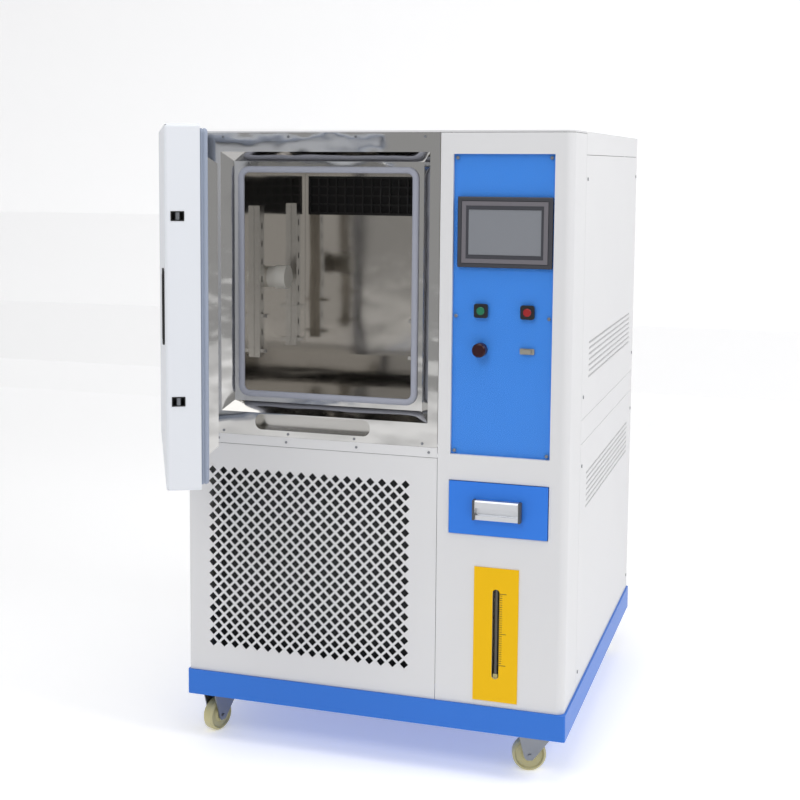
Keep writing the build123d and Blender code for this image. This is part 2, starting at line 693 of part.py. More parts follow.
fan = rod((cond_x, fan_y, fan_z), (cond_x, fan_y + 26, fan_z), 34)
fan += rod((cond_x, fan_y, fan_z), (cond_x, strut_y + 20, fan_z), shaft_r)
for k in range(fan_blades):
    blade = Pos(fan_d / 4 + 12, fan_y + 13, 0) * Rot(28, 0, 0) * Box(fan_d / 2 - 30, 3, 52)
    fan += Pos(cond_x, 0, fan_z) * Rot(0, 360 / fan_blades * k, 0) * blade
nodes["condenser_fan"] = fan
comp_x, comp_y = 300.0, 640.0
can = rod((comp_x, comp_y, deck_z + 16), (comp_x, comp_y, deck_z + compressor_h), compressor_r)
can = chamfer(can.edges().sort_by(Axis.Z)[-1], 30)
can += block(comp_x - 110, comp_x + 110, comp_y - 110, comp_y + 110, deck_z + 12, deck_z + 16)
for x in (-90, 90):
    for y in (-90, 90):
        can += rod((comp_x + x, comp_y + y, deck_z), (comp_x + x, comp_y + y, deck_z + 12), 12)
nodes["compressor"] = can

# Door, closed: hollow shell, steel plug with tapered sides, soft gasket
door_x0, door_x1 = 0.0, door_w
door_z1 = z_top - door_below_top
door_z0 = door_z1 - door_h
door_y1 = -gasket_t
door_y0 = door_y1 - door_t
door_mx, door_mz = (door_x0 + door_x1) / 2, (door_z0 + door_z1) / 2
shell = facing(door_mx, door_y0, door_mz, RectangleRounded(door_w, door_h, door_edge_r), door_t)
shell = fillet(shell.faces().sort_by(Axis.Y)[0].edges(), door_edge_r - 1)
shell -= block(door_x0 + 2, door_x1 - 2, door_y0 + 2, door_y1 - 2, door_z0 + 2, door_z1 - 2)
latch_z = (door_z0 + latch_inset, door_z1 - latch_inset)
latch_y0 = door_y0 + latch_offset
latch_y1 = latch_y0 + latch_w
handle_x1 = door_x1 - handle_edge
handle_x0 = handle_x1 - handle_w
for z in latch_z:
    shell += block(door_x1 - latch_depth - 2, door_x1 - 1, latch_y0 - 2, latch_y1 + 2, z - latch_h / 2 - 2, z + latch_h / 2 + 2)
    shell -= block(door_x1 - latch_depth, door_x1 + 1, latch_y0, latch_y1, z - latch_h / 2, z + latch_h / 2)
shell += block(
    handle_x0 + 2, handle_x1 - 2, door_y0 + 1, door_y0 + handle_recess + 4, door_mz - handle_h / 2 + 2,
    door_mz + handle_h / 2 - 2,
)
shell -= block(
    handle_x0 + 4, handle_x1 - 4, door_y0 - 1, door_y0 + handle_recess + 2, door_mz - handle_h / 2 + 4,
    door_mz + handle_h / 2 - 4,
)

plug_w0, plug_h0 = step_w - 2 * plug_clear, step_h - 2 * plug_clear
plug = frustum(
    cav_x, cav_z, 0, plug_depth, plug_w0, plug_h0, plug_w0 - 2 * plug_taper, plug_h0 - 2 * plug_taper
)
neck_inset = 4.0
plug += block(
    cav_x - plug_w0 / 2 + neck_inset, cav_x + plug_w0 / 2 - neck_inset, door_y1 + seat, 0,
    cav_z - plug_h0 / 2 + neck_inset, cav_z + plug_h0 / 2 - neck_inset,
)
plug -= frustum(
    cav_x, cav_z, door_y1, plug_depth - 2, plug_w0 - 24, plug_h0 - 24, plug_w0 - 2 * plug_taper - 10,
    plug_h0 - 2 * plug_taper - 10,
)
nodes["door_liner"] = plug

gasket = ring(
    door_mx, door_y1 + seat, door_mz,
    RectangleRounded(door_w - 2 * gasket_inset, door_h - 2 * gasket_inset, 10),
    RectangleRounded(door_w - 2 * gasket_inset - 2 * gasket_w, door_h - 2 * gasket_inset - 2 * gasket_w, 4),
    gasket_t - seat - gasket_clear,
)
nodes["door_gasket"] = gasket

# Door handle: recessed case and a paddle that swings on an upright pivot
case_y = door_y0 - handle_proud
case = facing((handle_x0 + handle_x1) / 2, case_y, door_mz, RectangleRounded(handle_w, handle_h, 8), handle_proud - seat)
case += block(
    handle_x0 + 4 + seat, handle_x1 - 4 - seat, door_y0 - seat, door_y0 + handle_recess, door_mz - handle_h / 2 + 4 + seat,
    door_mz + handle_h / 2 - 4 - seat,
)
pocket = 3.0
lever_y0 = case_y - 0.5
lever_t = 6.0
pivot_x = handle_x0 + 11.0
pivot_y = lever_y0 + lever_t / 2
pivot_r = 2.5
case -= block(
    handle_x0 + 4 + pocket, handle_x1 - 4 - pocket, case_y - 1, door_y0 + handle_recess - 2, door_mz - handle_h / 2 + 10,
    door_mz + handle_h / 2 - 10,
)
pivot_line = ((pivot_x, pivot_y, door_mz - handle_h / 2 + 8), (pivot_x, pivot_y, door_mz + handle_h / 2 - 8))
lever_z0, lever_z1 = door_mz - handle_h / 2 + 10 + 1, door_mz + handle_h / 2 - 10 - 1
lever = block(pivot_x, handle_x1 - 4 - pocket - 1, lever_y0, lever_y0 + lever_t, lever_z0, lever_z1)
lever += rod((pivot_x, pivot_y, lever_z0), (pivot_x, pivot_y, lever_z1), lever_t / 2)
lever -= rod((pivot_x, pivot_y, lever_z0 - 1), (pivot_x, pivot_y, lever_z1 + 1), pivot_r + running)
nodes["handle_lever"] = lever
pivot = rod(pivot_line[0], pivot_line[1], pivot_r)
nodes["handle_case"] = case + pivot
nodes["door_shell"] = shell

# Latches in the door edge: a black case each, and sprung roller bolts
cases, bolts = [], []
bolt_y, bolt_r = (latch_y0 + latch_y1) / 2, 5.0
for z in latch_z:
    cell = block(
        door_x1 - latch_depth + seat, door_x1 + 0.8, latch_y0 + seat, latch_y1 - seat, z - latch_h / 2 + seat,
        z + latch_h / 2 - seat,
    )
    cell -= block(
        door_x1 - latch_depth + 2, door_x1 + 2, latch_y0 + 2, latch_y1 - 2, z - latch_h / 2 + 2, z + latch_h / 2 - 2
    )
    cases.append(cell)
    stem = block(
        door_x1 - latch_depth + 2 + latch_throw + seat, door_x1 - 4, bolt_y - 4, bolt_y + 4, z - latch_h / 2 + 2 + seat,
        z + latch_h / 2 - 2 - seat,
    )
    stem += rod(
        (door_x1 - 4, bolt_y, z - latch_h / 2 + 2 + seat), (door_x1 - 4, bolt_y, z + latch_h / 2 - 2 - seat), bolt_r
    )
    bolts.append(stem)
nodes["latch_cases"] = group(cases)
nodes["latch_bolts"] = group(bolts)

# Hinges on the left: strap leaves, barrels that share one pin line, pins with the cabinet's leaves
hinge_z = (door_z0 + hinge_inset, door_z1 - hinge_inset - hinge_len)
cabinet_leaves, door_leaves = [], []
third = hinge_len / 3
leaf_run = 60.0
for z in hinge_z:
    arm_x0 = hinge_x + knuckle_r - leaf_t
    leaf = block(-leaf_t - seat, -seat, 6, leaf_run, z, z + hinge_len)
    for low in (z, z + 2 * third):
        leaf += block(-leaf_t - seat, -seat, hinge_y, 8, low, low + third - seat)
        leaf += rod((hinge_x, hinge_y, low), (hinge_x, hinge_y, low + third - seat), knuckle_r)
        leaf += block(hinge_x, -seat, hinge_y - leaf_t / 2, hinge_y + leaf_t / 2, low, low + third - seat)
    leaf -= rod((hinge_x, hinge_y, z - 1), (hinge_x, hinge_y, z + hinge_len + 1), pin_r)
    pin = rod((hinge_x, hinge_y, z), (hinge_x, hinge_y, z + hinge_len - seat), pin_r)
    cabinet_leaves.append(leaf + pin)
    mid0, mid1 = z + third, z + 2 * third - seat
    wing = block(-leaf_t - seat, -seat, door_y0 + 10, door_y1 - 4, mid0, mid1)
    wing += rod((hinge_x, hinge_y, mid0), (hinge_x, hinge_y, mid1), knuckle_r)
    wing += block(hinge_x, -seat, hinge_y - leaf_t / 2, hinge_y + leaf_t / 2, mid0, mid1)
    wing -= rod((hinge_x, hinge_y, mid0 - 1), (hinge_x, hinge_y, mid1 + 1), pin_r + running)
    door_leaves.append(wing)
nodes["cabinet_hinges"] = group(cabinet_leaves)
nodes["door_hinges"] = group(door_leaves)

# Screws: domed on the control plate and steel front, and on the side sheets


def dome(x, y, z, radius, height):
    """A low six-sided screw head facing the front."""
    head = frustum(x, z, y - height, y, radius * 1.1, radius * 1.1, radius * 1.8, radius * 1.8)
    return head


def side_dome(y, z):
    plane = Plane(origin=(body_w + seat, y, z), z_dir=(1, 0, 0))
    return extrude(plane * RegularPolygon(screw_r, 6), screw_h / 2)


screws = []
inset = panel_screw_inset
for x in (rec_x - plate_w / 2 + inset, rec_x + plate_w / 2 - inset):
    for z in (rec_z - plate_h / 2 + inset, rec_z - plate_h / 2 + panel_screw_mid, rec_z + plate_h / 2 - inset):
        head = facing(x, face_y - seat - screw_h, z, RegularPolygon(screw_r, 8), screw_h)
        screws.append(chamfer(head.faces().sort_by(Axis.Y)[0].edges(), 1))
screw_x = [87.0 + 156.3 * k for k in range(4)]
small_r = 3.2
small_h = 0.8
for x in screw_x:
    for z in (frame_top - 9, z_frame + sill_flange / 2):
        screws.append(facing(x, -seat - small_h, z, RegularPolygon(small_r, 6), small_h))
for x in (74.0, 239.0, 405.0, 571.0):
    screws.append(facing(x, -seat - small_h, low_z1 + seam + strip_h / 2, RegularPolygon(small_r, 6), small_h))
side_y = (wrap_d + seam + 18, body_d - 20)
for y in side_y:
    for z in (skirt_z - seam - 52, rail_z1 + seam + 50, rail_z0 - seam - 50, z_body + 38):
        screws.append(side_dome(y, z))
nodes["casing_screws"] = group(screws)

# Casters: top plates with their kingpins, swivel forks with axles, and wheels
corners = {
    "front_left": front_left,
    "front_right": front_right,
    "rear_left": (rear_inset, body_d - rear_inset, rear_turn),
    "rear_right": (body_w - rear_inset, body_d - rear_inset, -rear_turn),
}
race_r = 22.0
bolt_r = 6.0
bolt_h = 3.5
race_h = 6.0
king_r = 6.0
crown_z = z_base - seat - caster_plate_t - race_h - seat
wheel_r = wheel_d / 2
plates = []
points = {}
for name, (x, y, turn) in corners.items():
    half_p = caster_plate_w / 2
    plate = block(x - half_p, x + half_p, y - half_p, y + half_p, z_base - seat - caster_plate_t, z_base - seat)
    plate += rod((x, y, crown_z + seat), (x, y, z_base - seat - 1), race_r)
    plate += rod((x, y, crown_z - fork_t - 6), (x, y, crown_z + 1), king_r)
    plate += [
        Pos(x, y, z_base - seat - caster_plate_t - bolt_h) * Pos(*spot.position) * extrude(RegularPolygon(bolt_r, 6), bolt_h)
        for spot in GridLocations(caster_plate_w - 18, caster_plate_w - 18, 2, 2).locations
    ]
    plates.append(plate)
    gap = wheel_w / 2 + fork_gap
    local = block(-caster_crown, caster_crown, -gap - 1, gap + 1, crown_z - fork_t, crown_z)
    local -= rod((0, 0, crown_z - fork_t - 1), (0, 0, crown_z + 1), king_r + running)
    cheek = make_face(Polyline(
        (-caster_crown, crown_z), (caster_crown, crown_z), (caster_crown, crown_z - 9), (caster_trail + 12, wheel_r - 4),
        (caster_trail + 6, wheel_r - 11), (caster_trail - 6, wheel_r - 11), (caster_trail - 12, wheel_r - 4),
        (-caster_crown, crown_z - 9), close=True,
    ))
    cheek_plane = Plane(origin=(0, 0, 0), x_dir=(1, 0, 0), z_dir=(0, -1, 0))
    for side in (gap, -gap - fork_t):
        local += Pos(0, side + fork_t, 0) * extrude(cheek_plane * cheek, fork_t)
    local += rod((caster_trail, -gap - fork_t - 3, wheel_r), (caster_trail, gap + fork_t + 3, wheel_r), axle_r)
    rim_in = wheel_r - 8
    wheel_face = make_face(Polyline(
        (axle_r + running, -wheel_w / 2), (14, -wheel_w / 2), (18, -wheel_w / 2 + 5), (rim_in, -wheel_w / 2 + 5),
        (wheel_r - 5, -wheel_w / 2), (wheel_r, -wheel_w / 2 + 5), (wheel_r, wheel_w / 2 - 5), (wheel_r - 5, wheel_w / 2),
        (rim_in, wheel_w / 2 - 5), (18, wheel_w / 2 - 5), (14, wheel_w / 2), (axle_r + running, wheel_w / 2), close=True,
    ))
    turned = revolve(wheel_face, Axis.Y)
    place = Pos(x, y, 0) * Rot(0, 0, turn)
    nodes["caster_fork_" + name] = place * local
    nodes["caster_wheel_" + name] = place * Pos(caster_trail, 0, wheel_r) * turned
    points["swivel_" + name] = Vector(x, y, crown_z)
    points["roll_" + name] = (place * Pos(caster_trail, 0, wheel_r)).position
    points["axle_" + name] = (place * Pos(0, 1, 0)).position - place.position
nodes["caster_plates"] = group(plates)

# The door and everything on it swing open about the hinge line
swing = Pos(hinge_x, hinge_y, 0) * Rot(0, 0, -door_open) * Pos(-hinge_x, -hinge_y, 0)
on_door = (
    "door_shell", "door_liner", "door_gasket", "handle_case", "handle_lever", "latch_cases", "latch_bolts", "door_hinges"
)
for name in on_door:
    nodes[name] = swing * nodes[name]

# The origin is under the middle of everything as it stands, door open
extent = group(nodes.values()).bounding_box()
middle = Vector((extent.min.X + extent.max.X) / 2, (extent.min.Y + extent.max.Y) / 2, extent.min.Z)
home = Pos(-middle.X, -middle.Y, -middle.Z)
os.makedirs("parts", exist_ok=True)
for name, shape in nodes.items():
    export_step(home * shape, "parts/" + name + ".step")

points["door_hinge"] = Vector(hinge_x, hinge_y, door_mz)
points["handle_pivot"] = (swing * Pos(pivot_x, pivot_y, door_mz)).position
points["blower"] = Vector(cav_x, imp_y, shaft_z)
points["fan"] = Vector(cond_x, fan_y, fan_z)
points["light"] = Vector(switch_at[0][0], bezel_y, switch_at[0][1])
points["power"] = Vector(switch_at[1][0], bezel_y, switch_at[1][1])
points["top_centre"] = Vector(body_w / 2, body_d / 2, z_top)
points["cavity_low"] = Vector(cav_x0 + upright_d + 20, step_depth - seal_t, cav_z0)
points["cavity_high"] = Vector(cav_x1 - upright_d - 20, duct_y - 6, cav_z1)
points["bin_low"] = Vector(drw_x - box_w / 2 + sheet, box_y0 + sheet, box_z0 + sheet)
points["bin_high"] = Vector(drw_x + box_w / 2 - sheet, box_y0 + drawer_depth - sheet, box_z1)
points["tray_low"] = Vector(tray_left, tray_y0, tray_z0)
points["tray_high"] = Vector(tray_x1, tray_y0 + tray_depth, tray_z0 + tray_h)
points["pull_low"] = Vector(drw_x - pull_w / 2 + 6, tip, pull_mid - half)
points["pull_high"] = Vector(drw_x + pull_w / 2 - 6, pull_back, pull_mid + half)
for name, point in points.items():
    moved = point if name.startswith("axle_") else point - middle
    print("point", name, round(moved.X, 4), round(moved.Y, 4), round(moved.Z, 4))
print("origin", round(middle.X, 4), round(middle.Y, 4), round(middle.Z, 4))
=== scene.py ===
import json
import math

import bpy
import numpy as np
from mathutils import Matrix, Vector


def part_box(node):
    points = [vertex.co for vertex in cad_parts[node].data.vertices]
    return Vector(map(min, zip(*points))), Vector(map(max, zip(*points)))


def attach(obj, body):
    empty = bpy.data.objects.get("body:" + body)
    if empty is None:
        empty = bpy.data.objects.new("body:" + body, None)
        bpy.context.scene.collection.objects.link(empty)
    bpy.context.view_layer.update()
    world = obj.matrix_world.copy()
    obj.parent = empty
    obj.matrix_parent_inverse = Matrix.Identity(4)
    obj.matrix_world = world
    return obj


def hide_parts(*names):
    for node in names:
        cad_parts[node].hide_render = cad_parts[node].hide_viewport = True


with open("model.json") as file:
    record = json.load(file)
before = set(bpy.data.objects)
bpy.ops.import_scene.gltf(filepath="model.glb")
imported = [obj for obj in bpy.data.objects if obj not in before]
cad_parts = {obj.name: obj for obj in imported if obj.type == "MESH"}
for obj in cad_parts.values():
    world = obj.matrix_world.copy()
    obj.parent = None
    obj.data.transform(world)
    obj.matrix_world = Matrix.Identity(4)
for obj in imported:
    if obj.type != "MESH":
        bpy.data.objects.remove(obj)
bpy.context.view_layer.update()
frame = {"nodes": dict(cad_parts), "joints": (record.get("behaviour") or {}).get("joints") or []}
nodes = frame["nodes"]


# Blue base tray: folded steel sheet with a smooth powder coat. The casing stands on its inner lip and the
# casters are bolted under it. Every finish below is built with this material graph.
class Value:
    """A number inside a material. Arithmetic on it adds Math nodes."""

    def __init__(self, graph, socket):
        self.graph, self.socket = graph, socket

    def __add__(self, other):
        return self.graph.math("ADD", self, other)

    def __mul__(self, other):
        return self.graph.math("MULTIPLY", self, other)


class Graph:
    """One material: constants go straight on the shader, anything that varies is wired to it."""

    def __init__(self, name, color, roughness=0.5, metallic=0.0, **constants):
        self.material = bpy.data.materials.new(name)
        self.material.use_nodes = True
        self.tree = self.material.node_tree
        self.shader = self.tree.nodes["Principled BSDF"]
        values = {"Base_Color": self.linear(*color), "Roughness": roughness, "Metallic": metallic}
        for socket, value in {**values, **constants}.items():
            self.shader.inputs[socket.replace("_", " ")].default_value = value

    @staticmethod
    def linear(*color):
        """An 8-bit display colour as linear light: v / 12.92 near black, else ((v + 0.055) / 1.055) to the
        power 2.4."""
        shares = [v / 255 for v in color]
        return tuple(v / 12.92 if v <= 0.04045 else ((v + 0.055) / 1.055) ** 2.4 for v in shares) + (1.0,)

    def node(self, kind, settings=None, output=0, **sockets):
        """Adds a node of any kind. Sockets are named with _ for a space, or sN for the Nth input."""
        made = self.tree.nodes.new(kind)
        for key, value in (settings or {}).items():
            setattr(made, key, value)
        for key, value in sockets.items():
            name = int(key[1:]) if key[0] == "s" and key[1:].isdigit() else key.replace("_", " ")
            if isinstance(value, Value):
                self.tree.links.new(value.socket, made.inputs[name])
            else:
                made.inputs[name].default_value = value
        return Value(self, made.outputs[output])

    def math(self, operation, a, b):
        return self.node("ShaderNodeMath", {"operation": operation}, s0=a, s1=b)

    def noise(self, scale, detail=2.0, stretch=(1, 1, 1)):
        """Noise over the object's coordinates in metres, each axis stretched."""
        place = self.node("ShaderNodeTexCoord", output=3)
        place = self.node("ShaderNodeVectorMath", {"operation": "MULTIPLY"}, s0=place, s1=stretch)
        return self.node("ShaderNodeTexNoise", Vector=place, Scale=scale, Detail=detail)

    def blend(self, factor, a, b):
        """A display colour that goes from a to b as factor goes from 0 to 1."""
        ends = {"s6": self.linear(*a), "s7": self.linear(*b)}
        return self.node("ShaderNodeMix", {"data_type": "RGBA"}, 2, s0=factor, **ends)

    def wire(self, socket, value):
        self.tree.links.new(value.socket, self.shader.inputs[socket])
        return self

    def bump(self, height, distance, strength=1.0):
        """Relief of distance metres where height goes from 0 to 1."""
        relief = {"Height": height, "Distance": distance, "Strength": strength}
        return self.wire("Normal", self.node("ShaderNodeBump", **relief))

    def uneven(self, least, spread, noise):
        """Roughness that runs from least to least + spread with a noise."""
        return self.wire("Roughness", noise * spread + least)

    def on(self, *objects):
        for obj in objects:
            obj.data.materials.clear()
            obj.data.materials.append(self.material)
        return self

    def coat(self, *names):
        """Puts the material on CAD pieces."""
        return self.on(*(nodes[name] for name in names))


def soften(radius, *names):
    """Rounds the sharp edges of CAD sheets and blocks by a small bevel."""
    for name in names:
        bevel = nodes[name].modifiers.new("edge", "BEVEL")
        bevel.width, bevel.segments, bevel.limit_method = radius, 2, "ANGLE"
        bevel.harden_normals = True


base_coat = Graph("base_coat", (40, 112, 208), 0.36, Specular_IOR_Level=0.35)
base_coat.bump(base_coat.noise(900, 3), 0.00002).coat("base_frame")
soften(0.0012, "base_frame")

# Casing: off-white powder-coated steel sheets, screwed over a welded frame of square tube. The coat is
# fine-grained, and its colour is faintly uneven.
coat_waves, coat_relief = 1100, 0.000025
casing = Graph("casing_coat", (218, 218, 219), 0.46)
casing.wire("Base Color", casing.blend(casing.noise(3.0), (214, 214, 216), (220, 220, 221)))
casing.bump(casing.noise(coat_waves, 3), coat_relief)
casing.coat("left_side_panel", "rear_panel", "top_cover", "column_panel")
casing.coat("lower_front_panel", "sill_strip", "frame_rails")
soften(0.0005, "top_cover", "column_panel", "sill_strip", "left_side_panel")


# Right side sheets: two removable sheets of coated steel, screwed on above and below the frame's rail. Each
# is punched with seven staggered rows of round holes in a long band. One mesh carries both, and a solidify
# gives them the sheet's thickness.
def add(name, points, faces, body, material, smooth=False):
    """A mesh object from an (n, 3) array of points and an (m, k) array of faces, riding on a body."""
    mesh = bpy.data.meshes.new(name)
    points, faces = np.asarray(points, float), np.asarray(faces, int)
    mesh.vertices.add(len(points))
    mesh.vertices.foreach_set("co", points.ravel())
    mesh.loops.add(faces.size)
    mesh.loops.foreach_set("vertex_index", faces.ravel())
    mesh.polygons.add(len(faces))
    mesh.polygons.foreach_set("loop_start", np.arange(len(faces)) * faces.shape[1])
    mesh.polygons.foreach_set("use_smooth", np.full(len(faces), smooth))
    mesh.update(calc_edges=True)
    mesh.validate()
    obj = bpy.data.objects.new(name, mesh)
    bpy.context.scene.collection.objects.link(obj)
    material.on(obj)
    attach(obj, body)
    return obj


def weld(points, faces):
    """The same surface with coinciding points made one."""
    kept, index = np.unique(np.round(points, 7), axis=0, return_inverse=True)
    return kept, index.ravel()[faces]


def joined(parts):
    """Several (points, faces) pairs as one, with faces of one size."""
    offsets = np.cumsum([0] + [len(p) for p, _ in parts[:-1]])
    faces = [f + offset for (_, f), offset in zip(parts, offsets)]
    return np.concatenate([p for p, _ in parts]), np.concatenate(faces)


def punched(sheet_y, sheet_z, band_y, band_z, columns, rows, radius):
    """Points (y, z) and quads of a sheet with a staggered band of holes. Each hole's cell is a square ring
    of eight quads between the cell's border and a circle, odd rows are shifted by half a cell, and plain
    quads fill the sheet round the band."""
    pitch = np.array([(band_y[1] - band_y[0]) / columns, (band_z[1] - band_z[0]) / rows])
    turn = np.arange(8) * math.pi / 4
    ray = np.stack([np.cos(turn), np.sin(turn)], 1)
    cell = np.concatenate([np.sign(np.round(ray, 3)) * pitch / 2, radius * ray])
    row, column = np.meshgrid(np.arange(rows), np.arange(columns - 1), indexing="ij")
    centre_y = band_y[0] + (column + 0.5 + 0.5 * (row % 2)) * pitch[0]
    centre = np.stack([centre_y, band_z[0] + (row + 0.5) * pitch[1]], -1).reshape(-1, 2)
    k = np.arange(8)
    ring = np.stack([k, (k + 1) % 8, (k + 1) % 8 + 8, k + 8], 1)
    points = (centre[:, None] + cell[None]).reshape(-1, 2)
    faces = (ring[None] + 16 * np.arange(len(centre))[:, None, None]).reshape(-1, 4)
    foot = band_z[0] + np.arange(rows) * pitch[1]
    start = band_y[0] + 0.5 * (np.arange(rows) % 2) * pitch[0]
    end = start + (columns - 1) * pitch[0]
    boxes = [(*sheet_y, sheet_z[0], band_z[0]), (*sheet_y, band_z[1], sheet_z[1])]
    boxes += [(sheet_y[0], y, z, z + pitch[1]) for y, z in zip(start, foot)]
    boxes += [(y, sheet_y[1], z, z + pitch[1]) for y, z in zip(end, foot)]
    corners = np.array([[(a, c), (b, c), (b, d), (a, d)] for a, b, c, d in boxes]).reshape(-1, 2)
    return joined([(points, faces), (corners, np.arange(len(corners)).reshape(-1, 4))])


lower_sheet_top, upper_sheet_foot, sheet_t = 0.5597, 0.6147, 0.0015
lower_band_z, upper_band_z, band_h = 0.3967, 0.6952, 0.09
band_front, band_rear = 0.085, 0.775
hole_columns, hole_rows, hole_radius = 66, 7, 0.0036
side_low, side_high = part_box("right_side_panels")
band_y = (side_low.y + band_front, side_low.y + band_rear)
sheets = []
for sheet_z, band_foot in (
    ((side_low.z, side_low.z + lower_sheet_top), side_low.z + lower_band_z),
    ((side_low.z + upper_sheet_foot, side_high.z), side_low.z + upper_band_z),
):
    band_z = (band_foot, band_foot + band_h)
    sheet_y = (side_low.y, side_high.y)
    sheets.append(punched(sheet_y, sheet_z, band_y, band_z, hole_columns, hole_rows, hole_radius))
points, faces = joined(sheets)
points = np.column_stack([np.full(len(points), side_high.x), points])
side_sheets = add("right_side_sheets", *weld(points, faces), "cabinet", casing)
thickness = side_sheets.modifiers.new("sheet", "SOLIDIFY")
thickness.thickness, thickness.offset = sheet_t, -1
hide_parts("right_side_panels")


# Stainless front: a mirror-bright pressed sheet with flange, sloped step and rim, let into the casing. The
# door's liner is of the same sheet. Such sheet is never quite flat, so its reflections swim a little.
mirror_waves, mirror_relief = 9.0, 0.006
mirror = Graph("bright_steel", (205, 204, 202), 0.07, 1.0)
mirror.bump(mirror.noise(mirror_waves, 1.5, (1, 1, 1.6)), mirror_relief, 0.5)
mirror.uneven(0.05, 0.08, mirror.noise(40.0)).coat("front_frame", "door_liner")
soften(0.0008, "front_frame", "door_liner")


# Cavity seal: a grey silicone profile, pushed on round the mouth of the cavity. Its hollow bulb faces the
# door, which squeezes it when it shuts.
def outline(width, height, radius, steps=8):
    """Points and outward directions round a rectangle with round corners: each corner is its centre plus
    radius times (cos t, sin t) over a quarter turn. Without a radius the corners are mitred."""
    corner = np.array([(1, 1), (-1, 1), (-1, -1), (1, -1)])
    half = np.array([width, height]) / 2
    if not radius:
        return corner * half, corner
    quarter = np.linspace(0, math.pi / 2, steps)
    turn = np.concatenate([quarter + math.pi / 2 * k for k in range(4)])
    out = np.stack([np.cos(turn), np.sin(turn)], 1)
    return corner.repeat(steps, 0) * (half - radius) + radius * out, out


def swept(name, centre, size, radius, profile, body, material, smooth=True, place=None):
    """A closed profile of (outward, back) points carried round a rounded rectangle that faces the front.
    Each point is the outline plus its outward direction times the profile's first value, set back by the
    second. place moves the finished points."""
    line, out = outline(*size, radius)
    profile = np.asarray(profile, float)
    flat = line[:, None] + out[:, None] * profile[None, :, :1]
    m, n = len(line), len(profile)
    points = np.empty((m, n, 3))
    points[..., 0], points[..., 2] = centre[0] + flat[..., 0], centre[2] + flat[..., 1]
    points[..., 1] = centre[1] + profile[None, :, 1]
    i, j = np.meshgrid(np.arange(m), np.arange(n), indexing="ij")
    a, b = (i + 1) % m, (j + 1) % n
    quads = np.stack([i * n + j, i * n + b, a * n + b, a * n + j], -1).reshape(-1, 4)
    points = points.reshape(-1, 3)
    return add(name, place(points) if place else points, quads, body, material, smooth)


def half_round(first, last, width, middle, height, count=9):
    """Points of a half round in a profile: (-width / 2 + width / 2 cos t, middle + height sin t)."""
    t = np.linspace(first, last, count)
    return np.stack([-width / 2 + width / 2 * np.cos(t), middle + height * np.sin(t)], 1)


seal_w, seal_corner, bulb_share = 0.014, 0.026, 0.55
seal_low, seal_high = (np.array(c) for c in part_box("cavity_seal"))
seal_centre = ((seal_low[0] + seal_high[0]) / 2, seal_low[1], (seal_low[2] + seal_high[2]) / 2)
seal_size, seal_t = (seal_high - seal_low)[[0, 2]], seal_high[1] - seal_low[1]
bulb = half_round(math.pi, 2 * math.pi, seal_w, seal_t * bulb_share, seal_t * bulb_share)
seal_profile = np.concatenate([bulb, [(0, seal_t), (-seal_w, seal_t)]])
silicone = Graph("grey_silicone", (158, 161, 174), 0.5, Specular_IOR_Level=0.4)
seal = swept("seal", seal_centre, seal_size, seal_corner, seal_profile, "cabinet", silicone)
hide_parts("cavity_seal")

# Drip tray: pressed stainless pan set behind the slot in the sill, duller than the bright front. Its brush
# marks run across it.
brushed = Graph("brushed_steel", (196, 194, 190), 0.3, 1.0)
brushed.uneven(0.16, 0.12, brushed.noise(6.0, 2.0, (1, 1, 60))).coat("sill_tray")

# Cavity: bright stainless liner and duct panel, welded and polished, with slotted uprights of brushed steel
# on both walls and a shelf clip in each.
cavity_steel = Graph("cavity_steel", (218, 214, 208), 0.07, 1.0)
cavity_steel.bump(cavity_steel.noise(5.0, 1.0), mirror_relief, 0.4)
cavity_steel.uneven(0.06, 0.1, cavity_steel.noise(25.0)).coat("chamber_liner", "back_duct")
brushed.coat("shelf_uprights")
soften(0.0004, "shelf_uprights")

# Port plug: a stopper of pale soft silicone, pushed by hand into the cable port of the left wall. Its edges
# are well rounded.
Graph("pale_silicone", (206, 204, 198), 0.62).coat("port_plug")
soften(0.002, "port_plug")

# Air grille: a black moulded grid, clipped into the duct panel's outlet, and the black fan wheel behind it.
# A thin near-black sheet just behind the grid is painted shade: it stands in for the dark inside of the
# duct.
black = Graph("black_plastic", (20, 20, 22), 0.5)
black.bump(black.noise(1500), 0.00003).coat("air_grille", "blower_wheel")


def prism(low, high):
    """Eight corners and six faces of a plain box: every mix of the low and high x, y and z."""
    x, y, z = np.meshgrid(*zip(low, high), indexing="ij")
    corners = np.stack([x.ravel(), y.ravel(), z.ravel()], 1)
    left_right, front_back = [(0, 1, 3, 2), (4, 6, 7, 5)], [(0, 4, 5, 1), (2, 3, 7, 6)]
    foot_top = [(0, 2, 6, 4), (1, 5, 7, 3)]
    return corners, np.array(left_right + front_back + foot_top)


# Painted shade: a near-black sheet just behind the grid darkens its openings; its bump gives it a fine
# texture.
shade_margin, shade_front, shade_back = 0.0045, 0.0002, 0.0010
duct_shade_black = Graph("duct_shade_black", (13, 13, 15), 0.75)
duct_shade_black.bump(duct_shade_black.noise(700, 1), 0.0002)
grid_low, grid_high = (np.array(c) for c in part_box("air_grille"))
duct_painted_shade = prism(
    (grid_low[0] + shade_margin, grid_high[1] + shade_front, grid_low[2] + shade_margin),
    (grid_high[0] - shade_margin, grid_high[1] + shade_back, grid_high[2] - shade_margin),
)
add("duct_painted_shade", *duct_painted_shade, "cabinet", duct_shade_black)

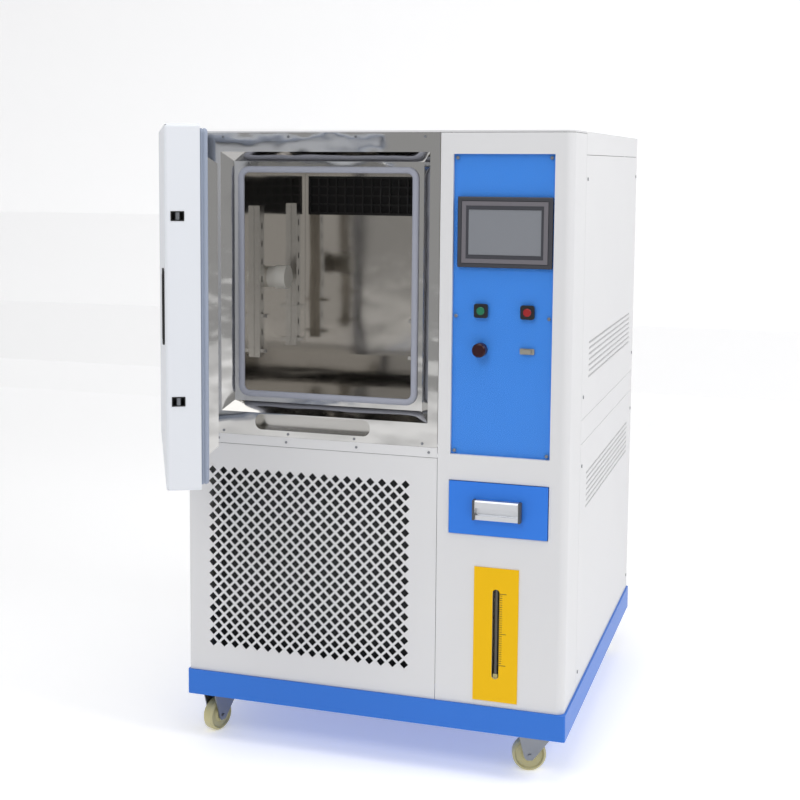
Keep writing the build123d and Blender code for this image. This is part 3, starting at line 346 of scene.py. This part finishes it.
# Door: a hollow off-white steel shell, a tapered stainless plug, and a soft grey-blue gasket pressed in
# between. The frame stores it open, so the gasket is worked out closed, then turned about the hinge line.
hinge = next(j for j in frame["joints"] if j["name"] == "door_swing")
hinge_line = np.array(hinge["pos_m"])
open_turn = -math.radians(hinge["range_deg"][1])
turn_cos, turn_sin = math.cos(open_turn), math.sin(open_turn)
open_matrix = np.array([(turn_cos, -turn_sin, 0), (turn_sin, turn_cos, 0), (0, 0, 1)])


def opened(points):
    """Points of the closed door turned to where the open door stands."""
    return (np.asarray(points) - hinge_line) @ open_matrix.T + hinge_line


def closed_box(node):
    """Lowest and highest corner of a door node as it would be with the door shut."""
    points = np.empty(len(nodes[node].data.vertices) * 3)
    nodes[node].data.vertices.foreach_get("co", points)
    points = (points.reshape(-1, 3) - hinge_line) @ open_matrix + hinge_line
    return points.min(0), points.max(0)


door_coat = Graph("door_coat", (224, 227, 233), 0.42)
door_coat.bump(door_coat.noise(coat_waves, 3), coat_relief).coat("door_shell")
soft = Graph("door_gasket", (148, 157, 175), 0.55, Specular_IOR_Level=0.35)
gasket_w, gasket_corner, groove, root_share, lip_share = 0.012, 0.01, 0.0015, 0.55, 0.45
gasket_low, gasket_high = closed_box("door_gasket")
gasket_size, gasket_t = (gasket_high - gasket_low)[[0, 2]], gasket_high[1] - gasket_low[1]
lip = half_round(0, math.pi, gasket_w, gasket_t * root_share, gasket_t * lip_share)
root = [(-gasket_w, 0), (0, 0), (0, gasket_t * 0.25), (-groove, gasket_t * 0.33), (-groove, gasket_t * 0.4)]
gasket_profile = np.concatenate([root, lip])[::-1]
gasket_centre = (gasket_low + gasket_high) / 2
gasket_centre[1] = gasket_low[1]
gasket = swept(
    "gasket", gasket_centre, gasket_size, gasket_corner, gasket_profile, "door", soft, place=opened,
)
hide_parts("door_gasket")

# Handle and latches: a black moulded paddle in its case, screwed to the door's outer face, and black latch
# cases with bright roller bolts, let into its free edge. Hinges and drawer runners have the same zinc plate.
grained = Graph("grained_black", (22, 22, 24), 0.42)
grained.bump(grained.noise(1800), 0.00004).coat("handle_case", "handle_lever", "latch_cases")
soften(0.001, "handle_case", "handle_lever")
zinc = Graph("zinc", (138, 141, 146), 0.42, 1.0)
zinc.uneven(0.32, 0.2, zinc.noise(60.0))
zinc.coat("latch_bolts", "cabinet_hinges", "door_hinges", "drawer_box", "drawer_runners")

# Control plate: smooth blue steel sheet, left bare, under a clear acrylic cover in the column's shallow
# recess. A nickel-plated serial socket is set in the plate.
Graph("control_blue", (48, 134, 228), 0.5, Specular_IOR_Level=0.3).coat("control_plate")
Graph("clear_acrylic", (120, 170, 235), 0.06, Alpha=0.07, IOR=1.49).coat("control_cover")
soften(0.0006, "control_cover")
Graph("port_metal", (158, 154, 144), 0.4, 0.6).coat("serial_port")

# Touch panel: a dark moulded housing with a sloped edge, set through the blue plate. It has a paler face, a
# black inner frame and a matt grey screen. Profiles run outward and back from the panel's outer edge.
face_w, edge_w, frame_w, housing_t = 0.019, 0.0085, 0.0045, 0.007
face_inset, face_rise = 0.001, 0.0003
panel_low, panel_high = (np.array(c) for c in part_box("touch_panel"))
panel_size = (panel_high - panel_low)[[0, 2]]
panel_centre = (panel_low + panel_high) / 2
panel_centre[1] = panel_low[1]
housing = Graph("panel_housing", (54, 55, 62), 0.5)
housing.bump(housing.noise(1500), 0.00003).coat("touch_panel")
face = Graph("panel_face", (106, 103, 109), 0.5)
inner = Graph("panel_inner_frame", (8, 8, 10), 0.6, Specular_IOR_Level=0.2)
Graph("screen_glass", (128, 131, 137), 0.22).coat("touch_screen")
face_out, face_in = -edge_w - face_inset, -face_w + face_rise
case_side = [(0, housing_t), (0, housing_t / 2), (-0.0012, 0.0022)]
case_profile = case_side + [(-edge_w, 0), (-face_w, 0), (-face_w, housing_t)]
face_profile = [(face_out, 0), (face_out, -face_rise), (face_in, -face_rise), (face_in, 0)]
inner_profile = [(0, 0.0015), (0, 0.0004), (-frame_w, 0.0012), (-frame_w, 0.003), (0, 0.003)]
for name, size, profile, material in (
    ("panel_case", panel_size, case_profile, housing),
    ("panel_face", panel_size, face_profile, face),
    ("panel_inner", panel_size - 2 * face_w, inner_profile, inner),
):
    swept(name, panel_centre, size, 0, profile, "cabinet", material, smooth=False)

# Switches and buzzer: glossy black square bezels, snapped into the blue plate, with a green and a red button
# of clouded plastic, and a dark maroon horn.
Graph("gloss_black", (24, 24, 27), 0.3).coat("switch_bezels")
soften(0.0012, "switch_bezels")
for name, color in (("light_button", (12, 112, 76)), ("power_button", (150, 14, 20))):
    Graph(name + "_lens", color, 0.35, Coat_Weight=0.15).coat(name)
    soften(0.0015, name)
Graph("buzzer_maroon", (46, 8, 16), 0.3, Specular_IOR_Level=0.3).coat("buzzer")
soften(0.003, "buzzer")

# Drawer: blue sheet front with rolled edges, on a zinc-plated box that runs on slides. The pull, extruded
# from aluminium, is screwed to the front and closed by grey end caps.
drawer_coat = Graph("drawer_blue", (42, 120, 222), 0.42, Specular_IOR_Level=0.35)
drawer_coat.bump(drawer_coat.noise(1000, 3), 0.00002).coat("drawer_front")
soften(0.0012, "drawer_front")
anodised = Graph("anodised", (206, 208, 212), 0.32, 0.9)
anodised.uneven(0.26, 0.12, anodised.noise(8.0, 2.0, (1, 80, 80))).coat("drawer_pull")
soften(0.0008, "drawer_pull")
cap_w, cap_skin = 0.005, 0.0002
pull_low, pull_high = (np.array(c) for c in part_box("drawer_pull"))
caps_low, caps_high = pull_low - cap_skin, pull_high + (cap_skin, 0, cap_skin)
caps = [
    prism(caps_low, (pull_low[0] + cap_w, caps_high[1], caps_high[2])),
    prism((pull_high[0] - cap_w, caps_low[1], caps_low[2]), caps_high),
]
add("pull_caps", *joined(caps), "drawer", Graph("cap_grey", (70, 72, 76), 0.5))

# Level gauge: a yellow slotted plate over a sight tube that ends in a cream fitting. The scale's black marks
# are printed beside the slot, at heights above the floor.
tick_low, tick_high, tick_step, major_ticks = 0.258, 0.417, 0.005, (0.258, 0.328, 0.417)
minor_run, major_run, slot_gap = 0.006, 0.015, 0.003
mark_half, mark_rise, mark_sink = 0.0006, 0.00015, 0.0001
fitting_foot, fitting_top, fitting_rise, fitting_depth = 0.004, 0.019, 0.0004, 0.002
Graph("gauge_yellow", (236, 186, 0), 0.5, Specular_IOR_Level=0.2).coat("gauge_plate")
Graph("sight_tube", (62, 60, 52), 0.12, Coat_Weight=0.5).coat("level_tube")
tube_low, tube_high = (np.array(c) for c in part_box("level_tube"))
plate_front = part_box("gauge_plate")[0].y
mark_start, mark_front, mark_back = tube_high[0] + slot_gap, plate_front - mark_rise, plate_front + mark_sink
levels = [(z, minor_run) for z in np.arange(tick_low + tick_step, tick_high, tick_step)]
levels += [(z, major_run) for z in major_ticks]
marks = [
    prism((mark_start, mark_front, z - mark_half), (mark_start + run, mark_back, z + mark_half))
    for z, run in levels
]
add("gauge_marks", *joined(marks), "cabinet", Graph("scale_ink", (18, 18, 18), 0.6))
fitting = prism(
    (tube_low[0], tube_low[1] - fitting_rise, tube_low[2] + fitting_foot),
    (tube_high[0], tube_low[1] + fitting_depth, tube_low[2] + fitting_top),
)
add("gauge_fitting", *fitting, "cabinet", Graph("cream_fitting", (178, 168, 110), 0.4))

# Insulation: straw-coloured rigid foam, foamed in place between the liner and the sheets and hidden by them.
# Its cut surface is dull and even.
Graph("rigid_foam", (222, 212, 168), 0.9).coat("insulation")

# Machinery: black compressor and motor, finned aluminium coils, a natural plastic tank, bolted to base and
# posts. The condenser, its fan and the corner posts behind the lower grille are coloured near black as
# painted shade of the unlit bay.
Graph("machine_black", (16, 16, 18), 0.5).coat("compressor", "blower_motor")
Graph("bay_painted_shade", (14, 14, 16), 0.6).coat("condenser", "condenser_fan", "corner_posts")
Graph("coil_fins", (70, 72, 76), 0.5, 0.8).coat("evaporator")
Graph("natural_plastic", (214, 212, 204), 0.5).coat("water_tank")

# Intake: a near-black sheet with a woven pattern, stretched flat and set upright between the lower grille
# and the condenser, as painted shade of the bay behind the grille. The offsets are from the box of the lower
# front sheet.
screen_left, screen_edge, screen_back, screen_t = 0.052, 0.012, 0.062, 0.002
shade_screen_coat = Graph("painted_shade_screen", (20, 20, 22), 0.7)
threads = shade_screen_coat.noise(240.0, 2.0, (1, 1, 0.15))
shade_screen_coat.wire("Base Color", shade_screen_coat.blend(threads, (10, 10, 11), (62, 62, 66)))
sheet_low, sheet_high = (np.array(c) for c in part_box("lower_front_panel"))
screen_low = sheet_low + (screen_left, screen_back, screen_edge)
screen_high = (sheet_high[0] - screen_edge, screen_low[1] + screen_t, sheet_high[2] - screen_edge)
add("painted_shade_screen", *prism(screen_low, screen_high), "cabinet", shade_screen_coat)

# Casters: zinc-plated pressed forks on swivel plates, bolted under the base, with cream nylon wheels on
# steel axles. The four are alike.
nylon = Graph("cream_nylon", (196, 188, 140), 0.42)
nylon.bump(nylon.noise(500, 3), 0.00004)
for name in nodes:
    if name.startswith("caster_fork"):
        zinc.coat(name)
    if name.startswith("caster_wheel"):
        nylon.coat(name)

# Screws: low steel heads, zinc-plated, that hold the side sheets, the blue plate and the bright front to
# what is behind them.
zinc.coat("casing_screws")

# Ground and room: a pale sweep that rises behind, so bright metal has a plain white room to show. Its
# profile is a line of (y, z) points, carried across from left to right.
sweep_half = 9.0
sweep = [(-6.0, 0.0), (4.2, 0.0), (4.8, 0.08), (5.3, 0.4), (5.5, 1.0), (5.5, 6.0)]
ground_points = [(x, y, z) for x in (-sweep_half, sweep_half) for y, z in sweep]
strips = [(k, k + 1, k + 1 + len(sweep), k + len(sweep)) for k in range(len(sweep) - 1)]
ground = bpy.data.meshes.new("ground")
ground.from_pydata(ground_points, [], strips)
floor = bpy.data.objects.new("ground", ground)
bpy.context.scene.collection.objects.link(floor)
white = (1.0, 1.0, 1.0, 1.0)
Graph("pale_ground", (245, 245, 246), 0.85, Emission_Color=white, Emission_Strength=0.3).on(floor)

# Light: an even grey room with three softboxes, hung high so that the bright metal doesn't reflect them.
# Each has its place and aim in metres, its width and height, and its power in watts.
room_strength = 0.4
world = bpy.data.worlds.new("studio")
bpy.context.scene.world = world
world.use_nodes = True
background = world.node_tree.nodes["Background"]
background.inputs["Color"].default_value = white
background.inputs["Strength"].default_value = room_strength


def softbox(name, place, target, width, height, power):
    """A rectangular lamp at place that faces target."""
    lamp = bpy.data.lights.new(name, "AREA")
    lamp.shape, lamp.size, lamp.size_y, lamp.energy = "RECTANGLE", width, height, power
    made = bpy.data.objects.new(name, lamp)
    made.location = place
    made.rotation_euler = (Vector(target) - Vector(place)).to_track_quat("-Z", "Y").to_euler()
    bpy.context.scene.collection.objects.link(made)


softbox("front_box", (-0.5, -3.2, 3.5), (-0.1, 0.0, 0.8), 1.8, 1.4, 46)
softbox("side_box", (3.4, -0.2, 3.4), (0.4, 0.3, 0.6), 1.8, 1.8, 70)
softbox("top_box", (0.2, -0.8, 4.2), (0.0, 0.3, 0.0), 2.4, 2.4, 40)
bpy.context.scene.view_settings.view_transform = "Standard"

# Camera: its place in metres, its turn in degrees, and its lens and shift in the photograph's pixels, all
# worked out from the casing's edges in the photograph.
camera_place = (0.950, -3.156, 1.3388)
yaw, pitch, roll = math.radians(18.62), math.radians(5.79), math.radians(0.28)
photo_px, lens_px, centre_x_px, centre_y_px = 800, 1424.2, 346.4, 308.7
sensor_mm = 36
ahead = Vector((-math.sin(yaw) * math.cos(pitch), math.cos(yaw) * math.cos(pitch), -math.sin(pitch)))
right = Vector((math.cos(yaw), math.sin(yaw), 0))
up = right.cross(ahead)
turned_right = right * math.cos(roll) + up * math.sin(roll)
turned_up = up * math.cos(roll) - right * math.sin(roll)
lens = bpy.data.cameras.new("camera")
lens.lens = lens_px * sensor_mm / photo_px
lens.shift_x = (photo_px / 2 - centre_x_px) / photo_px
lens.shift_y = (centre_y_px - photo_px / 2) / photo_px
camera = bpy.data.objects.new("camera", lens)
axes = Matrix((turned_right, turned_up, -ahead)).transposed()
camera.matrix_world = Matrix.Translation(camera_place) @ axes.to_4x4()
bpy.context.scene.collection.objects.link(camera)
bpy.context.scene.camera = camera
